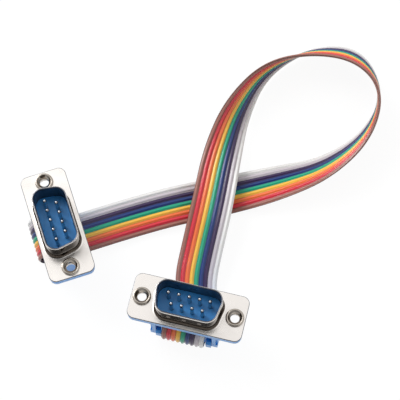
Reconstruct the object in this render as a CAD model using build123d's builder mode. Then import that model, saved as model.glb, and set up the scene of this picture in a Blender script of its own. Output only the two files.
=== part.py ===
from build123d import *
from math import cos, radians, sin, tan
import os

# A short serial cable: two nine-pin male D plugs clamped onto one flat rainbow ribbon.
# Both plugs lie on their backs with their pins up, and the ribbon loops between them.
# Millimetres, +Z up. The origin is the middle of the first plug's underside, X runs
# along that plug's long side and +Y the way its ribbon leaves. Z = 0 is the surface.

# ---- Where the two plugs lie ----
PLUG_A_PLACE = (0, 0)
PLUG_A_TURN = 0
PLUG_B_PLACE = (-39.4, 14.0)
PLUG_B_TURN = 122
# The ribbon leaves each plug on its +Y side (1) or on its -Y side (-1).
PLUG_A_EXIT = 1
PLUG_B_EXIT = -1

# ---- Steel shell ----
FLANGE_FACE = 15.4  # height of the flange's front face
FLANGE_LENGTH = 30.8
FLANGE_WIDTH = 12.5
FLANGE_CORNER = 2.0
SHEET = 0.5  # thickness of the flange
SHELL_WALL = 0.45
SHELL_HEIGHT = 6.0  # rim above the flange face
MOUTH_LENGTH = 16.92  # opening inside the rim
MOUTH_WIDTH = 8.36
MOUTH_CORNER = 2.6
MOUTH_SLANT = 10  # degrees that the short sides lean
ROOT_SLOPE = 0.6  # slope where the drawn shell meets the flange
DIMPLE_PITCH = 4.1
DIMPLE_RADIUS = 1.0
DIMPLE_PROUD = 0.22
DIMPLE_HEIGHT = 3.0  # above the flange face

# ---- Threaded inserts, two in each plug ----
INSERT_SPACING = 25.0
INSERT_BORE = 2.4
INSERT_BARREL = 3.7
INSERT_COLLAR = 4.9
COLLAR_HEIGHT = 0.6
COUNTERSINK = 3.5  # diameter at the collar's top
SWAGE_LENGTH = 0.6  # rear collar, under the moulding
SWAGE_DIAMETER = 4.4
INSERT_FIT = 0.03  # radial, in the flange and the moulding

# ---- Pins and the forks that cut into the ribbon ----
CONTACTS = 9
PIN_PITCH = 2.77
ROW_GAP = 2.84
PIN_DIAMETER = 1.0
PIN_REACH = 5.2  # tip above the flange face
PIN_TAPER = 0.3  # bevel round the pin's tip
PIN_FIT = 0.02  # radial, in the moulding
FORK_WIDTH = 0.92
FORK_SLOT = 0.3
FORK_THICK = 0.3
FORK_REACH = 1.1  # tips past the ribbon's underside
FORK_TAPER = 0.15
PLATE_HEIGHT = 1.4  # from the moulding's ceiling up to the pin
PLATE_FIT = 0.05

# ---- Ribbon ----
RIBBON_PITCH = 1.27
WIRE_WIDTH = 1.24  # across the edges where it meets its neighbours
WIRE_FLAT = 0.62  # width of its flat top and underside
WIRE_THICK = 0.9
SLOT_HEIGHT = 11.4  # middle of the ribbon where the forks hold it
BACK_HEIGHT = 2.4  # middle of the ribbon where it passes under the cover
FOLD_REACH = 7.25  # where it turns down, from the plug's middle
CUT_END = 2.3  # its cut end, past the plug's middle
EXIT_REACH = 8.0  # last point of its straight stretch under the cover
SHARP_TURN = 25  # degrees, past which an arc gets sections between its ends
RIBBON_FIT = 0.05  # above and below it in the slot and under the cover

# ---- Blue moulded body ----
MOULD_INSET = 0.1  # the moulding's edge inside the flange's
MOULD_FLANGE = 2.0
PAD_HEIGHT = 0.9
PAD_LENGTH = 2.2
PAD_WIDTH = 3.2
PAD_GAP = 4.8  # between the two pads at one end
FLOOR_DROP = 0.2  # floor inside the shell, below the flange face
MOUTH_FIT = 0.05
BODY_GAP = 1.1  # from the skirt's ends to the inserts' rear collars
SKIRT_WIDTH = 11.2
SKIRT_FOOT = 2.6
END_WALL = 0.9
LEG_WALL = 0.95
LEG_CLEARANCE = 0.15  # from the ribbon's edges to the legs either side of it
WINDOW_WEB = 0.2  # between a window and the ribbon's gap
WINDOW_LENGTH = 1.55
WINDOW_FOOT = 3.15
WINDOW_HEAD = 12.3
POCKET_LENGTH = 0.55  # blind pocket at each outer corner
POCKET_DEPTH = 0.6
POCKET_FOOT = 5.0

# ---- Blue moulded cover ----
COVER_FIT = 0.1
SADDLE_WIDTH = 11.4
SADDLE_RADIUS = 3.0
GROOVE_DEPTH = 0.15  # shallow grooves keep each wire over its fork
GROOVE_WIDTH = 1.0
TINE_POCKET_LENGTH = 1.15
TINE_POCKET_WIDTH = 0.55
TINE_CLEARANCE = 0.15  # below the tines' tips
HOOK_FIT = 0.05  # above the window's foot and at each side
HOOK_HEIGHT = 3.1
HOOK_REACH = 0.65  # past the skirt
HOOK_SLOPE = 0.6  # drop of the sloped top that leads the hook in
HOOK_ROOT = 0.6  # depth of the hook inside the cover
NOTCH_FOOT = 4.2
NOTCH_HEIGHT = 1.1
NOTCH_DEPTH = 0.5

# ---- Blue strain-relief clip ----
CLIP_WIDTH = 6.4
CLIP_ARM = 0.85
CLIP_TOP = 6.0
CLIP_FIT = 0.1
NIB_REACH = 0.4
CLIP_ROUND = 0.5

# ---- The ribbon's route between the plugs ----
# Each entry: a point on the ribbon's middle line, and the direction across the ribbon
# from its last wire to its first one.
LOOP = [
    ((-0.5, 19.5, 4.0), (-1.0, 0.0, -0.1)),
    ((-1.5, 33.0, 6.5), (-1.0, 0.0, 0.0)),
    ((-2.0, 47.5, 6.5), (-0.9, 0.0, 0.4)),
    ((-1.5, 62.0, 5.0), (-0.6, 0.0, 0.8)),
    ((3.5, 75.5, 6.0), (-0.25, -0.05, 0.95)),
    ((15.0, 84.5, 5.5), (0.0, -0.5, 0.85)),
    ((28.5, 86.0, 7.0), (-0.05, -0.6, 0.8)),
    ((37.5, 76.0, 6.5), (-0.05, -0.35, 0.95)),
    ((36.0, 62.5, 6.0), (0.2, -0.45, 0.85)),
    ((27.0, 51.0, 4.5), (0.4, -0.65, 0.65)),
    ((14.5, 44.0, 2.5), (0.5, -0.85, 0.25)),
    ((1.0, 37.5, 0.8), (0.5, -0.85, 0.0)),
    ((-12.0, 31.0, 1.5), (0.53, -0.85, 0.0)),
    ((-23.5, 24.5, 1.0), (0.53, -0.85, 0.0)),
]

WIRE_COLOURS = [
    "brown",
    "red",
    "orange",
    "yellow",
    "green",
    "blue",
    "purple",
    "grey",
    "white",
]

# ---- Worked out from the sizes above ----
SHEET_BACK = FLANGE_FACE - SHEET
MOULD_BACK = SHEET_BACK - MOULD_FLANGE
RIBBON_WIDTH = (CONTACTS - 1) * RIBBON_PITCH + WIRE_WIDTH
RIBBON_MOUTH = RIBBON_WIDTH + 2 * LEG_CLEARANCE  # gap between the legs, for the ribbon
BODY_LENGTH = INSERT_SPACING - SWAGE_DIAMETER - 2 * BODY_GAP
CEILING = SLOT_HEIGHT + WIRE_THICK / 2 + RIBBON_FIT  # moulding above the ribbon
SADDLE_FLOOR = SLOT_HEIGHT - WIRE_THICK / 2 - RIBBON_FIT  # floor of the wires' grooves
SADDLE_TOP = SADDLE_FLOOR + GROOVE_DEPTH
COVER_BACK = BACK_HEIGHT + WIRE_THICK / 2 + RIBBON_FIT
PIN_FOOT = CEILING + PLATE_HEIGHT
FORK_TIP = SADDLE_FLOOR - FORK_REACH
COVER_LENGTH = BODY_LENGTH - 2 * END_WALL - 2 * COVER_FIT
COVER_WIDTH = SKIRT_WIDTH - 2 * LEG_WALL - 2 * COVER_FIT
SADDLE_LENGTH = RIBBON_MOUTH - 2 * COVER_FIT
LATCH_PLACE = RIBBON_MOUTH / 2 + WINDOW_WEB + WINDOW_LENGTH / 2
HOOK_LENGTH = WINDOW_LENGTH - 2 * HOOK_FIT
HOOK_FOOT = WINDOW_FOOT + HOOK_FIT
HOOK_TOP = HOOK_FOOT + HOOK_HEIGHT
NOTCH_WIDTH = CLIP_WIDTH + 2 * CLIP_FIT
CLIP_BAR = BACK_HEIGHT - WIRE_THICK / 2 - RIBBON_FIT  # top of the bar, from the surface
POCKET_PLACE = (BODY_LENGTH - POCKET_LENGTH) / 2
WIRES_MIDDLE = (CONTACTS - 1) / 2
WIRE_AREA = (WIRE_WIDTH + WIRE_FLAT) / 2 * WIRE_THICK
SIDES = (-1, 1)
CORNERS = [(x, y) for x in SIDES for y in SIDES]

os.makedirs("parts", exist_ok=True)


def d_outline(length, width, corner):
    """A D outline, its longer straight side at +Y and its short sides slanted.

    The sharp corners stand out beyond the rounded outline's own length by what the
    rounding takes off.
    """
    slant = radians(MOUTH_SLANT)
    long_half = length / 2 + corner * (tan(slant) + 1 / cos(slant) - 1)
    short_half = long_half - width * tan(slant)
    outline = Polygon(
        (-short_half, -width / 2),
        (short_half, -width / 2),
        (long_half, width / 2),
        (-long_half, width / 2),
        align=None,
    )
    fillet(outline.vertices(), corner)


def contact_place(index):
    """The pin's X and Y and the fork's X, for a contact counted along the ribbon."""
    pin_x = (index - WIRES_MIDDLE) * PIN_PITCH / 2
    row_y = ROW_GAP / 2 if index % 2 == 0 else -ROW_GAP / 2
    fork_x = (index - WIRES_MIDDLE) * RIBBON_PITCH
    return pin_x, row_y, fork_x


def plate_span(index):
    """The middle and the length of the plate that joins a pin to its fork."""
    pin_x, _, fork_x = contact_place(index)
    low = min(pin_x - PIN_DIAMETER / 2, fork_x - FORK_WIDTH / 2)
    high = max(pin_x + PIN_DIAMETER / 2, fork_x + FORK_WIDTH / 2)
    return (low + high) / 2, high - low


# ---- Shell: one piece of drawn sheet steel, flange and D-shaped wall ----
with BuildPart() as shell:
    with BuildSketch(Plane.XY.offset(FLANGE_FACE)):
        RectangleRounded(FLANGE_LENGTH, FLANGE_WIDTH, FLANGE_CORNER)
    extrude(amount=-SHEET)
    with BuildSketch(Plane.XY.offset(FLANGE_FACE)):
        d_outline(
            MOUTH_LENGTH + 2 * SHELL_WALL,
            MOUTH_WIDTH + 2 * SHELL_WALL,
            MOUTH_CORNER + SHELL_WALL,
        )
    extrude(amount=SHELL_HEIGHT)
    at_face = shell.edges().filter_by_position(Axis.Z, FLANGE_FACE - 0.01, FLANGE_FACE + 0.01)
    root = at_face.filter_by(lambda edge: edge.bounding_box().size.X < FLANGE_LENGTH * 0.7)
    root = root.filter_by(lambda edge: abs(edge.center().X) < MOUTH_LENGTH * 0.55)
    root = root.filter_by(lambda edge: abs(edge.center().Y) < MOUTH_WIDTH / 2 + 2 * SHELL_WALL)
    chamfer(root, ROOT_SLOPE)
    # Small pressed dimples on both long sides grip the mating shell.
    dimple_y = MOUTH_WIDTH / 2 + SHELL_WALL + DIMPLE_PROUD - DIMPLE_RADIUS
    dimple_z = FLANGE_FACE + DIMPLE_HEIGHT
    with Locations(
        [(x * DIMPLE_PITCH, y * dimple_y, dimple_z) for x in (-1, 0, 1) for y in SIDES]
    ):
        Sphere(DIMPLE_RADIUS)
    with BuildSketch(Plane.XY.offset(FLANGE_FACE + SHELL_HEIGHT)):
        d_outline(MOUTH_LENGTH, MOUTH_WIDTH, MOUTH_CORNER)
    extrude(amount=-(SHELL_HEIGHT + SHEET), mode=Mode.SUBTRACT)
    with BuildSketch(Plane.XY.offset(FLANGE_FACE)):
        with Locations([(x * INSERT_SPACING / 2, 0) for x in SIDES]):
            Circle(INSERT_BARREL / 2 + INSERT_FIT)
    extrude(amount=-SHEET, mode=Mode.SUBTRACT)

# ---- Threaded insert: a turned bush, swaged behind the moulding ----
with BuildPart() as insert:
    collar_top = FLANGE_FACE + COLLAR_HEIGHT
    swage_back = MOULD_BACK - SWAGE_LENGTH
    sink_depth = (COUNTERSINK - INSERT_BORE) / 2
    with BuildSketch(Plane.XZ):
        with BuildLine():
            Polyline(
                (INSERT_BORE / 2, swage_back),
                (SWAGE_DIAMETER / 2, swage_back),
                (SWAGE_DIAMETER / 2, MOULD_BACK),
                (INSERT_BARREL / 2, MOULD_BACK),
                (INSERT_BARREL / 2, FLANGE_FACE),
                (INSERT_COLLAR / 2, FLANGE_FACE),
                (INSERT_COLLAR / 2, collar_top),
                (COUNTERSINK / 2, collar_top),
                (INSERT_BORE / 2, collar_top - sink_depth),
                close=True,
            )
        make_face()
    revolve(axis=Axis.Z)

with BuildPart() as inserts:
    with Locations([(x * INSERT_SPACING / 2, 0, 0) for x in SIDES]):
        add(insert.part)

# ---- Contacts: a round pin, a flat plate and a two-tined fork, all one piece ----
contacts = []
for index in range(CONTACTS):
    pin_x, row_y, fork_x = contact_place(index)
    plate_x, plate_length = plate_span(index)
    with BuildPart() as contact:
        with BuildSketch(Plane.XY.offset(PIN_FOOT)):
            with Locations((pin_x, row_y)):
                Circle(PIN_DIAMETER / 2)
        extrude(amount=FLANGE_FACE + PIN_REACH - PIN_FOOT)
        chamfer(contact.edges().sort_by(Axis.Z)[-1], PIN_TAPER)
        with BuildSketch(Plane.XZ.offset(-row_y)):
            with Locations((plate_x, PIN_FOOT)):
                Rectangle(plate_length, PLATE_HEIGHT / 2, align=(Align.CENTER, Align.MAX))
            with Locations((fork_x, PIN_FOOT - PLATE_HEIGHT / 2)):
                Rectangle(
                    FORK_WIDTH,
                    PIN_FOOT - PLATE_HEIGHT / 2 - FORK_TIP,
                    align=(Align.CENTER, Align.MAX),
                )
            with Locations((fork_x, FORK_TIP)):
                Rectangle(
                    FORK_SLOT,
                    CEILING - FORK_TIP,
                    align=(Align.CENTER, Align.MIN),
                    mode=Mode.SUBTRACT,
                )
        extrude(amount=FORK_THICK / 2, both=True)
        tips = contact.edges().group_by(Axis.Z)[0].filter_by(Axis.Y)
        chamfer(tips.sort_by(Axis.X)[0], FORK_TAPER)
        tips = contact.edges().group_by(Axis.Z)[0].filter_by(Axis.Y)
        chamfer(tips.sort_by(Axis.X)[-1], FORK_TAPER)
    contacts.append(contact.part)

# ---- Body: moulded flange, floor inside the shell, and a skirt with latch windows ----
with BuildPart() as body:
    with BuildSketch(Plane.XY.offset(SHEET_BACK)):
        RectangleRounded(
            FLANGE_LENGTH - 2 * MOULD_INSET,
            FLANGE_WIDTH - 2 * MOULD_INSET,
            FLANGE_CORNER - MOULD_INSET,
        )
    extrude(amount=-MOULD_FLANGE)
    with BuildSketch(Plane.XY.offset(SHEET_BACK)):
        d_outline(
            MOUTH_LENGTH - 2 * MOUTH_FIT,
            MOUTH_WIDTH - 2 * MOUTH_FIT,
            MOUTH_CORNER - MOUTH_FIT,
        )
    extrude(amount=SHEET - FLOOR_DROP)
    # Pads either side of each insert stiffen the ends.
    pad_x = FLANGE_LENGTH / 2 - FLANGE_CORNER / 2 - PAD_LENGTH / 2
    pad_y = (PAD_GAP + PAD_WIDTH) / 2
    with BuildSketch(Plane.XY.offset(MOULD_BACK)):
        with Locations([(x * pad_x, y * pad_y) for x, y in CORNERS]):
            Rectangle(PAD_LENGTH, PAD_WIDTH)
    extrude(amount=-PAD_HEIGHT)
    with BuildSketch(Plane.XY.offset(MOULD_BACK)):
        Rectangle(BODY_LENGTH, SKIRT_WIDTH)
    extrude(amount=SKIRT_FOOT - MOULD_BACK)
    with BuildSketch(Plane.XY.offset(SKIRT_FOOT)):
        Rectangle(BODY_LENGTH - 2 * END_WALL, SKIRT_WIDTH - 2 * LEG_WALL)
        Rectangle(RIBBON_MOUTH, SKIRT_WIDTH)
    extrude(amount=CEILING - SKIRT_FOOT, mode=Mode.SUBTRACT)
    # The clip's arms stand in slots in the end walls.
    with BuildSketch(Plane.XY.offset(SKIRT_FOOT)):
        Rectangle(BODY_LENGTH, NOTCH_WIDTH)
    extrude(amount=CLIP_TOP + CLIP_FIT - SKIRT_FOOT, mode=Mode.SUBTRACT)
    window_z = (WINDOW_FOOT + WINDOW_HEAD) / 2
    window_y = (SKIRT_WIDTH - LEG_WALL) / 2
    with Locations([(x * LATCH_PLACE, y * window_y, window_z) for x, y in CORNERS]):
        Box(WINDOW_LENGTH, 2 * LEG_WALL, WINDOW_HEAD - WINDOW_FOOT, mode=Mode.SUBTRACT)
    pocket_z = (POCKET_FOOT + WINDOW_HEAD) / 2
    with Locations([(x * POCKET_PLACE, y * SKIRT_WIDTH / 2, pocket_z) for x, y in CORNERS]):
        Box(POCKET_LENGTH, 2 * POCKET_DEPTH, WINDOW_HEAD - POCKET_FOOT, mode=Mode.SUBTRACT)
    with BuildSketch(Plane.XY.offset(SHEET_BACK)):
        with Locations([(x * INSERT_SPACING / 2, 0) for x in SIDES]):
            Circle(INSERT_BARREL / 2 + INSERT_FIT)
    extrude(amount=-MOULD_FLANGE, mode=Mode.SUBTRACT)
    with BuildSketch(Plane.XY.offset(FLANGE_FACE)):
        with Locations([contact_place(index)[:2] for index in range(CONTACTS)]):
            Circle(PIN_DIAMETER / 2 + PIN_FIT)
    extrude(amount=PIN_FOOT - FLANGE_FACE, mode=Mode.SUBTRACT)
    with BuildSketch(Plane.XY.offset(CEILING)):
        for index in range(CONTACTS):
            _, row_y, _ = contact_place(index)
            plate_x, plate_length = plate_span(index)
            with Locations((plate_x, row_y)):
                Rectangle(plate_length + 2 * PLATE_FIT, FORK_THICK + 2 * PLATE_FIT)
    extrude(amount=PLATE_HEIGHT, mode=Mode.SUBTRACT)

# ---- Cover: a saddle that presses the ribbon onto the forks, with four latch hooks ----
with BuildPart() as cover:
    end_length = (COVER_LENGTH - SADDLE_LENGTH) / 2
    end_x = (COVER_LENGTH - end_length) / 2
    with BuildSketch(Plane.XY.offset(COVER_BACK)):
        with Locations([(x * end_x, 0) for x in SIDES]):
            Rectangle(end_length, COVER_WIDTH)
    extrude(amount=CEILING - RIBBON_FIT - COVER_BACK)
    with BuildSketch(Plane.YZ) as saddle:
        with Locations((0, COVER_BACK)):
            Rectangle(SADDLE_WIDTH, SADDLE_TOP - COVER_BACK, align=(Align.CENTER, Align.MIN))
        fillet(saddle.vertices(), SADDLE_RADIUS)
    extrude(amount=SADDLE_LENGTH / 2, both=True)
    with BuildSketch(Plane.XZ):
        with Locations([(contact_place(index)[2], 0) for index in range(CONTACTS)]):
            Polygon(
                (-GROOVE_WIDTH / 2, SADDLE_TOP),
                (-WIRE_FLAT / 2, SADDLE_FLOOR),
                (WIRE_FLAT / 2, SADDLE_FLOOR),
                (GROOVE_WIDTH / 2, SADDLE_TOP),
                align=None,
            )
    extrude(amount=SADDLE_WIDTH, both=True, mode=Mode.SUBTRACT)
    with BuildSketch(Plane.XY.offset(SADDLE_TOP)):
        for index in range(CONTACTS):
            _, row_y, fork_x = contact_place(index)
            with Locations((fork_x, row_y)):
                Rectangle(TINE_POCKET_LENGTH, TINE_POCKET_WIDTH)
    extrude(amount=FORK_TIP - TINE_CLEARANCE - SADDLE_TOP, mode=Mode.SUBTRACT)
    # Each hook has a sloped top that leads it in and a flat foot that rests in its window.
    hook_in = COVER_WIDTH / 2 - HOOK_ROOT
    hook_out = SKIRT_WIDTH / 2 + HOOK_REACH
    for x, y in CORNERS:
        with BuildSketch(Plane.YZ.offset(x * LATCH_PLACE)):
            Polygon(
                (y * hook_in, HOOK_TOP),
                (y * SKIRT_WIDTH / 2, HOOK_TOP),
                (y * hook_out, HOOK_TOP - HOOK_SLOPE),
                (y * hook_out, HOOK_FOOT),
                (y * hook_in, HOOK_FOOT),
                align=None,
            )
        extrude(amount=HOOK_LENGTH / 2, both=True)
    # Notches in the ends take the clip's nibs.
    with Locations([(x * COVER_LENGTH / 2, 0, NOTCH_FOOT + NOTCH_HEIGHT / 2) for x in SIDES]):
        Box(2 * NOTCH_DEPTH, NOTCH_WIDTH, NOTCH_HEIGHT, mode=Mode.SUBTRACT)

# ---- Strain-relief clip: a bar under the ribbon with two arms that snap on the cover ----
with BuildPart() as clip:
    arm_inside = COVER_LENGTH / 2 + CLIP_FIT
    arm_outside = arm_inside + CLIP_ARM
    nib_head = NOTCH_FOOT + NOTCH_HEIGHT - CLIP_FIT
    with BuildSketch(Plane.XZ):
        Rectangle(2 * arm_outside, CLIP_TOP, align=(Align.CENTER, Align.MIN))
        with Locations((0, CLIP_BAR)):
            Rectangle(
                2 * arm_inside,
                CLIP_TOP - CLIP_BAR,
                align=(Align.CENTER, Align.MIN),
                mode=Mode.SUBTRACT,
            )
        for x in SIDES:
            Polygon(
                (x * arm_inside, nib_head),
                (x * (arm_inside - NIB_REACH), nib_head),
                (x * arm_inside, NOTCH_FOOT + CLIP_FIT),
                align=None,
            )
    extrude(amount=CLIP_WIDTH / 2, both=True)
    bar_ends = clip.edges().group_by(Axis.Z)[0].filter_by(Axis.Y)
    fillet(bar_ends, CLIP_ROUND)
    lips = clip.edges().filter_by(Axis.X).group_by(Axis.Z)[1]
    chamfer(lips, CLIP_ROUND / 2)

# ---- Ribbon: nine insulated wires side by side ----


def plug_plane(place, turn):
    """The plane that a plug lies on, its X along the plug's long side."""
    across = (cos(radians(turn)), sin(radians(turn)), 0)
    return Plane(origin=(place[0], place[1], 0), x_dir=across, z_dir=(0, 0, 1))


def plug_points(plane, exit_side):
    """The ribbon's points inside a plug, from its cut end to where it leaves."""
    heights = (SLOT_HEIGHT, SLOT_HEIGHT, BACK_HEIGHT, BACK_HEIGHT)
    reaches = (CUT_END, -FOLD_REACH, -FOLD_REACH, EXIT_REACH)
    middles = [(0, exit_side * reach, height) for reach, height in zip(reaches, heights)]
    return [(plane.from_local_coords(Vector(point)), -plane.x_dir) for point in middles]


def wire_section():
    """One wire's section: flat above and below, an edge at each side."""
    Polygon(
        (-WIRE_WIDTH / 2, 0),
        (-WIRE_FLAT / 2, -WIRE_THICK / 2),
        (WIRE_FLAT / 2, -WIRE_THICK / 2),
        (WIRE_WIDTH / 2, 0),
        (WIRE_FLAT / 2, WIRE_THICK / 2),
        (-WIRE_FLAT / 2, WIRE_THICK / 2),
        align=None,
    )


def corner_radii(points):
    """One radius for each corner: 0.45 of its shorter run over the half turn's tangent."""
    radii = []
    for before, corner, after in zip(points, points[1:], points[2:]):
        shorter = min((corner - before).length, (after - corner).length)
        turn = (corner - before).get_angle(after - corner)
        radii.append(0.45 * shorter / tan(radians(turn / 2)))
    return radii


def section_places(points, radii):
    """How far along the rounded path the sections stand, and the corner each is at.

    A wire has one section at each end and one where each arc starts and ends, with
    more in an arc that turns by over SHARP_TURN degrees.
    """
    places = [(0.0, 0)]
    reached = 0.0
    taken = 0.0
    for number, (before, corner, after) in enumerate(zip(points, points[1:], points[2:])):
        turn = (corner - before).get_angle(after - corner)
        radius = radii[number]
        tangent = radius * tan(radians(turn / 2))
        reached += (corner - before).length - taken - tangent
        arc = radius * radians(turn)
        steps = 1 + int(turn / SHARP_TURN)
        places += [(reached + arc * step / steps, number + 1) for step in range(steps + 1)]
        reached += arc
        taken = tangent
    reached += (points[-1] - points[-2]).length - taken
    places.append((reached, len(points) - 1))
    return places


plane_a = plug_plane(PLUG_A_PLACE, PLUG_A_TURN)
plane_b = plug_plane(PLUG_B_PLACE, PLUG_B_TURN)
route = plug_points(plane_a, PLUG_A_EXIT)
route += [(Vector(middle), Vector(across).normalized()) for middle, across in LOOP]
route += reversed(plug_points(plane_b, PLUG_B_EXIT))

wires = []
for index in range(CONTACTS):
    shift = (WIRES_MIDDLE - index) * RIBBON_PITCH
    points = [middle + across * shift for middle, across in route]
    radii = corner_radii(points)
    with BuildLine() as path:
        FilletPolyline(*points, radius=radii)
    spine = path.wires()[0]
    with BuildPart() as wire:
        for distance, corner in section_places(points, radii):
            here = spine.position_at(distance, position_mode=PositionMode.LENGTH)
            ahead = spine.tangent_at(distance, position_mode=PositionMode.LENGTH)
            with BuildSketch(Plane(origin=here, x_dir=route[corner][1], z_dir=ahead)):
                wire_section()
        loft(ruled=True)
        # The fork's tines have cut through the insulation.
        _, row_y, fork_x = contact_place(index)
        tine = (FORK_WIDTH - FORK_SLOT) / 2
        tine_x = (FORK_SLOT + tine) / 2
        for plane in (plane_a, plane_b):
            with Locations(plane.offset(SLOT_HEIGHT)):
                with Locations([(fork_x + x * tine_x, row_y) for x in SIDES]):
                    Box(tine, FORK_THICK, 2 * WIRE_THICK, mode=Mode.SUBTRACT)
    wires.append(wire.part)
    if index in (0, CONTACTS // 2, CONTACTS - 1):
        print(WIRE_COLOURS[index], "wire: length", round(spine.length, 1))
        print("  corner radii", [round(radius, 1) for radius in radii])
        share = wire.part.volume / (spine.length * WIRE_AREA)
        print("  volume over section times length", round(share, 3))

# ---- Both plugs are the same set of pieces, laid in their places ----


def write(piece, name):
    """Label a piece and write its file."""
    piece.label = name
    export_step(piece, f"parts/{name}.step")


plug_pieces = {
    "shell": shell.part,
    "inserts": inserts.part,
    "body": body.part,
    "cover": cover.part,
    "clip": clip.part,
}
for index, contact_part in enumerate(contacts):
    plug_pieces[f"contact_{WIRE_COLOURS[index]}"] = contact_part

for plug, plane in (("plug_a", plane_a), ("plug_b", plane_b)):
    for name, piece in plug_pieces.items():
        write(piece.moved(plane.location), f"{plug}_{name}")
for colour, wire_part in zip(WIRE_COLOURS, wires):
    write(wire_part, f"wire_{colour}")
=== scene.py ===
# %% [markdown]
# # A short serial ribbon cable
#
# Two nine-pin plugs are clamped onto one flat rainbow ribbon. The hard pieces were packed as a fixed frame of
# nodes. This file gives them their finishes and makes the rounder and finer pieces again as surfaces.
# Everything is in metres, +Z up, with the origin under the first plug.

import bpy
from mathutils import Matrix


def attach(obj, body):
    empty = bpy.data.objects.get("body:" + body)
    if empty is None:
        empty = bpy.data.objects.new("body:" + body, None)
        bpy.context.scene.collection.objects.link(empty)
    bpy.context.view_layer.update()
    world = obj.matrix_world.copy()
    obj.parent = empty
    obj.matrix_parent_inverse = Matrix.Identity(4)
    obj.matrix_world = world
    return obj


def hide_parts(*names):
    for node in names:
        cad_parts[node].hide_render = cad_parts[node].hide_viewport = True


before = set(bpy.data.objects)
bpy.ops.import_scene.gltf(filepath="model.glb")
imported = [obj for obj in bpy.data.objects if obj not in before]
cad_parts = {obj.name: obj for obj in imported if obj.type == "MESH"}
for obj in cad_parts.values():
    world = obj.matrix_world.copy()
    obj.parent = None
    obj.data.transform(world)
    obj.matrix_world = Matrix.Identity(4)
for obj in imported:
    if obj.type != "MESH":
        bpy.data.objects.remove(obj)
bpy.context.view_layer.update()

import bmesh
import bpy
import numpy as np
from mathutils import Matrix

MM = 0.001
print("nodes in the frame:", len(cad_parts))

# %% [markdown]
# The camera looks down at the cable from 70 degrees above the horizon, turned a little to the right. A long
# lens keeps the two plugs nearly the same size.

# %% Camera
CAMERA_PLACE = (31.68 * MM, -101.96 * MM, 393.71 * MM)
CAMERA_AZIMUTH = 15.22
CAMERA_ELEVATION = 70.19
CAMERA_ROLL = -1.515
CAMERA_LENS = 135.33
SENSOR_WIDTH = 36.0
CLIP_NEAR, CLIP_FAR = 0.01, 20.0

a, e, r = np.radians([CAMERA_AZIMUTH, CAMERA_ELEVATION, CAMERA_ROLL])
forward = np.array([-np.sin(a) * np.cos(e), np.cos(a) * np.cos(e), -np.sin(e)])
level = np.array([np.cos(a), np.sin(a), 0.0])
upright = np.cross(level, forward)
right = level * np.cos(r) + upright * np.sin(r)
up = upright * np.cos(r) - level * np.sin(r)

camera_data = bpy.data.cameras.new("camera")
camera_data.sensor_width = SENSOR_WIDTH
camera_data.lens = CAMERA_LENS
camera_data.clip_start = CLIP_NEAR
camera_data.clip_end = CLIP_FAR
camera = bpy.data.objects.new("camera", camera_data)
turn = Matrix(np.column_stack([right, up, -forward]).tolist()).to_4x4()
camera.matrix_world = Matrix.Translation(CAMERA_PLACE) @ turn
bpy.context.collection.objects.link(camera)
bpy.context.scene.camera = camera
print("camera at", [round(x, 3) for x in CAMERA_PLACE])

# %% [markdown]
# A surface is a grid of points worked out from two parameters. One helper turns such grids into a mesh: it
# numbers the four corners of every cell with array arithmetic, merges points that coincide, turns the faces
# outward and shades them smooth. Another makes the object, hangs it on the body and hides the nodes it stands
# for.

# %% Surfaces from grids
SAME_POINT = 1e-7  # points nearer than this are one point


def cells(rows, columns, wrap_rows=False, wrap_columns=False, start=0):
    """The four corner numbers of each cell in a grid of points, counted from start.

    A cell's corners are (i, j), (i+1, j), (i+1, j+1) and (i, j+1). A wrapped direction
    joins its last line of points to its first.
    """
    i = np.arange(rows if wrap_rows else rows - 1)[:, None]
    j = np.arange(columns if wrap_columns else columns - 1)[None, :]
    i_next, j_next = (i + 1) % rows, (j + 1) % columns
    corners = np.stack(
        [i * columns + j, i_next * columns + j, i_next * columns + j_next, i * columns + j_next],
        axis=-1,
    )
    return corners.reshape(-1, 4) + start


def mesh_from(name, grids, closed=True):
    """A mesh from several grids, each (points, wrap_rows, wrap_columns, cap_ends).

    Capped grids have their first and last rows closed with one face each. Points that
    coincide are merged, and the faces of a closed shape are turned outward.
    """
    points, faces, start = [], [], 0
    for grid, wrap_rows, wrap_columns, cap_ends in grids:
        rows, columns = grid.shape[:2]
        points.append(grid.reshape(-1, 3))
        faces += cells(rows, columns, wrap_rows, wrap_columns, start).tolist()
        if cap_ends:
            first = start + np.arange(columns)
            faces += [first[::-1].tolist(), (first + (rows - 1) * columns).tolist()]
        start += rows * columns
    mesh = bpy.data.meshes.new(name)
    mesh.from_pydata(np.concatenate(points).tolist(), [], faces)
    tidy = bmesh.new()
    tidy.from_mesh(mesh)
    bmesh.ops.remove_doubles(tidy, verts=tidy.verts, dist=SAME_POINT)
    if closed:
        bmesh.ops.recalc_face_normals(tidy, faces=tidy.faces)
    tidy.to_mesh(mesh)
    tidy.free()
    mesh.shade_smooth()
    return mesh


def piece(name, mesh, nodes, material):
    """An object for the mesh that stands for the named nodes and rides on the body."""
    made = bpy.data.objects.new(name, mesh)
    bpy.context.collection.objects.link(made)
    mesh.materials.append(material)
    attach(made, "root")
    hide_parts(*nodes)
    return made


print("the one cell of a 2 by 2 grid has corners", cells(2, 2).tolist())

# %% [markdown]
# Each material is a small tree of nodes. One function adds a node, sets its values and links its inputs, and
# one turns a colour written as sRGB hex into the linear numbers that the shader works in.

# %% Colours and nodes
MIX_A, MIX_B, MIXED = 6, 7, 2  # the mix node's two colour inputs and its colour output


def linear(code, strength=1.0):
    """An sRGB colour such as "d63a45" as linear red, green, blue and alpha."""
    value = np.array([int(code[k : k + 2], 16) for k in (0, 2, 4)]) / 255
    value = np.where(value <= 0.04045, value / 12.92, ((value + 0.055) / 1.055) ** 2.4)
    return (*(value * strength), 1.0)


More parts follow.
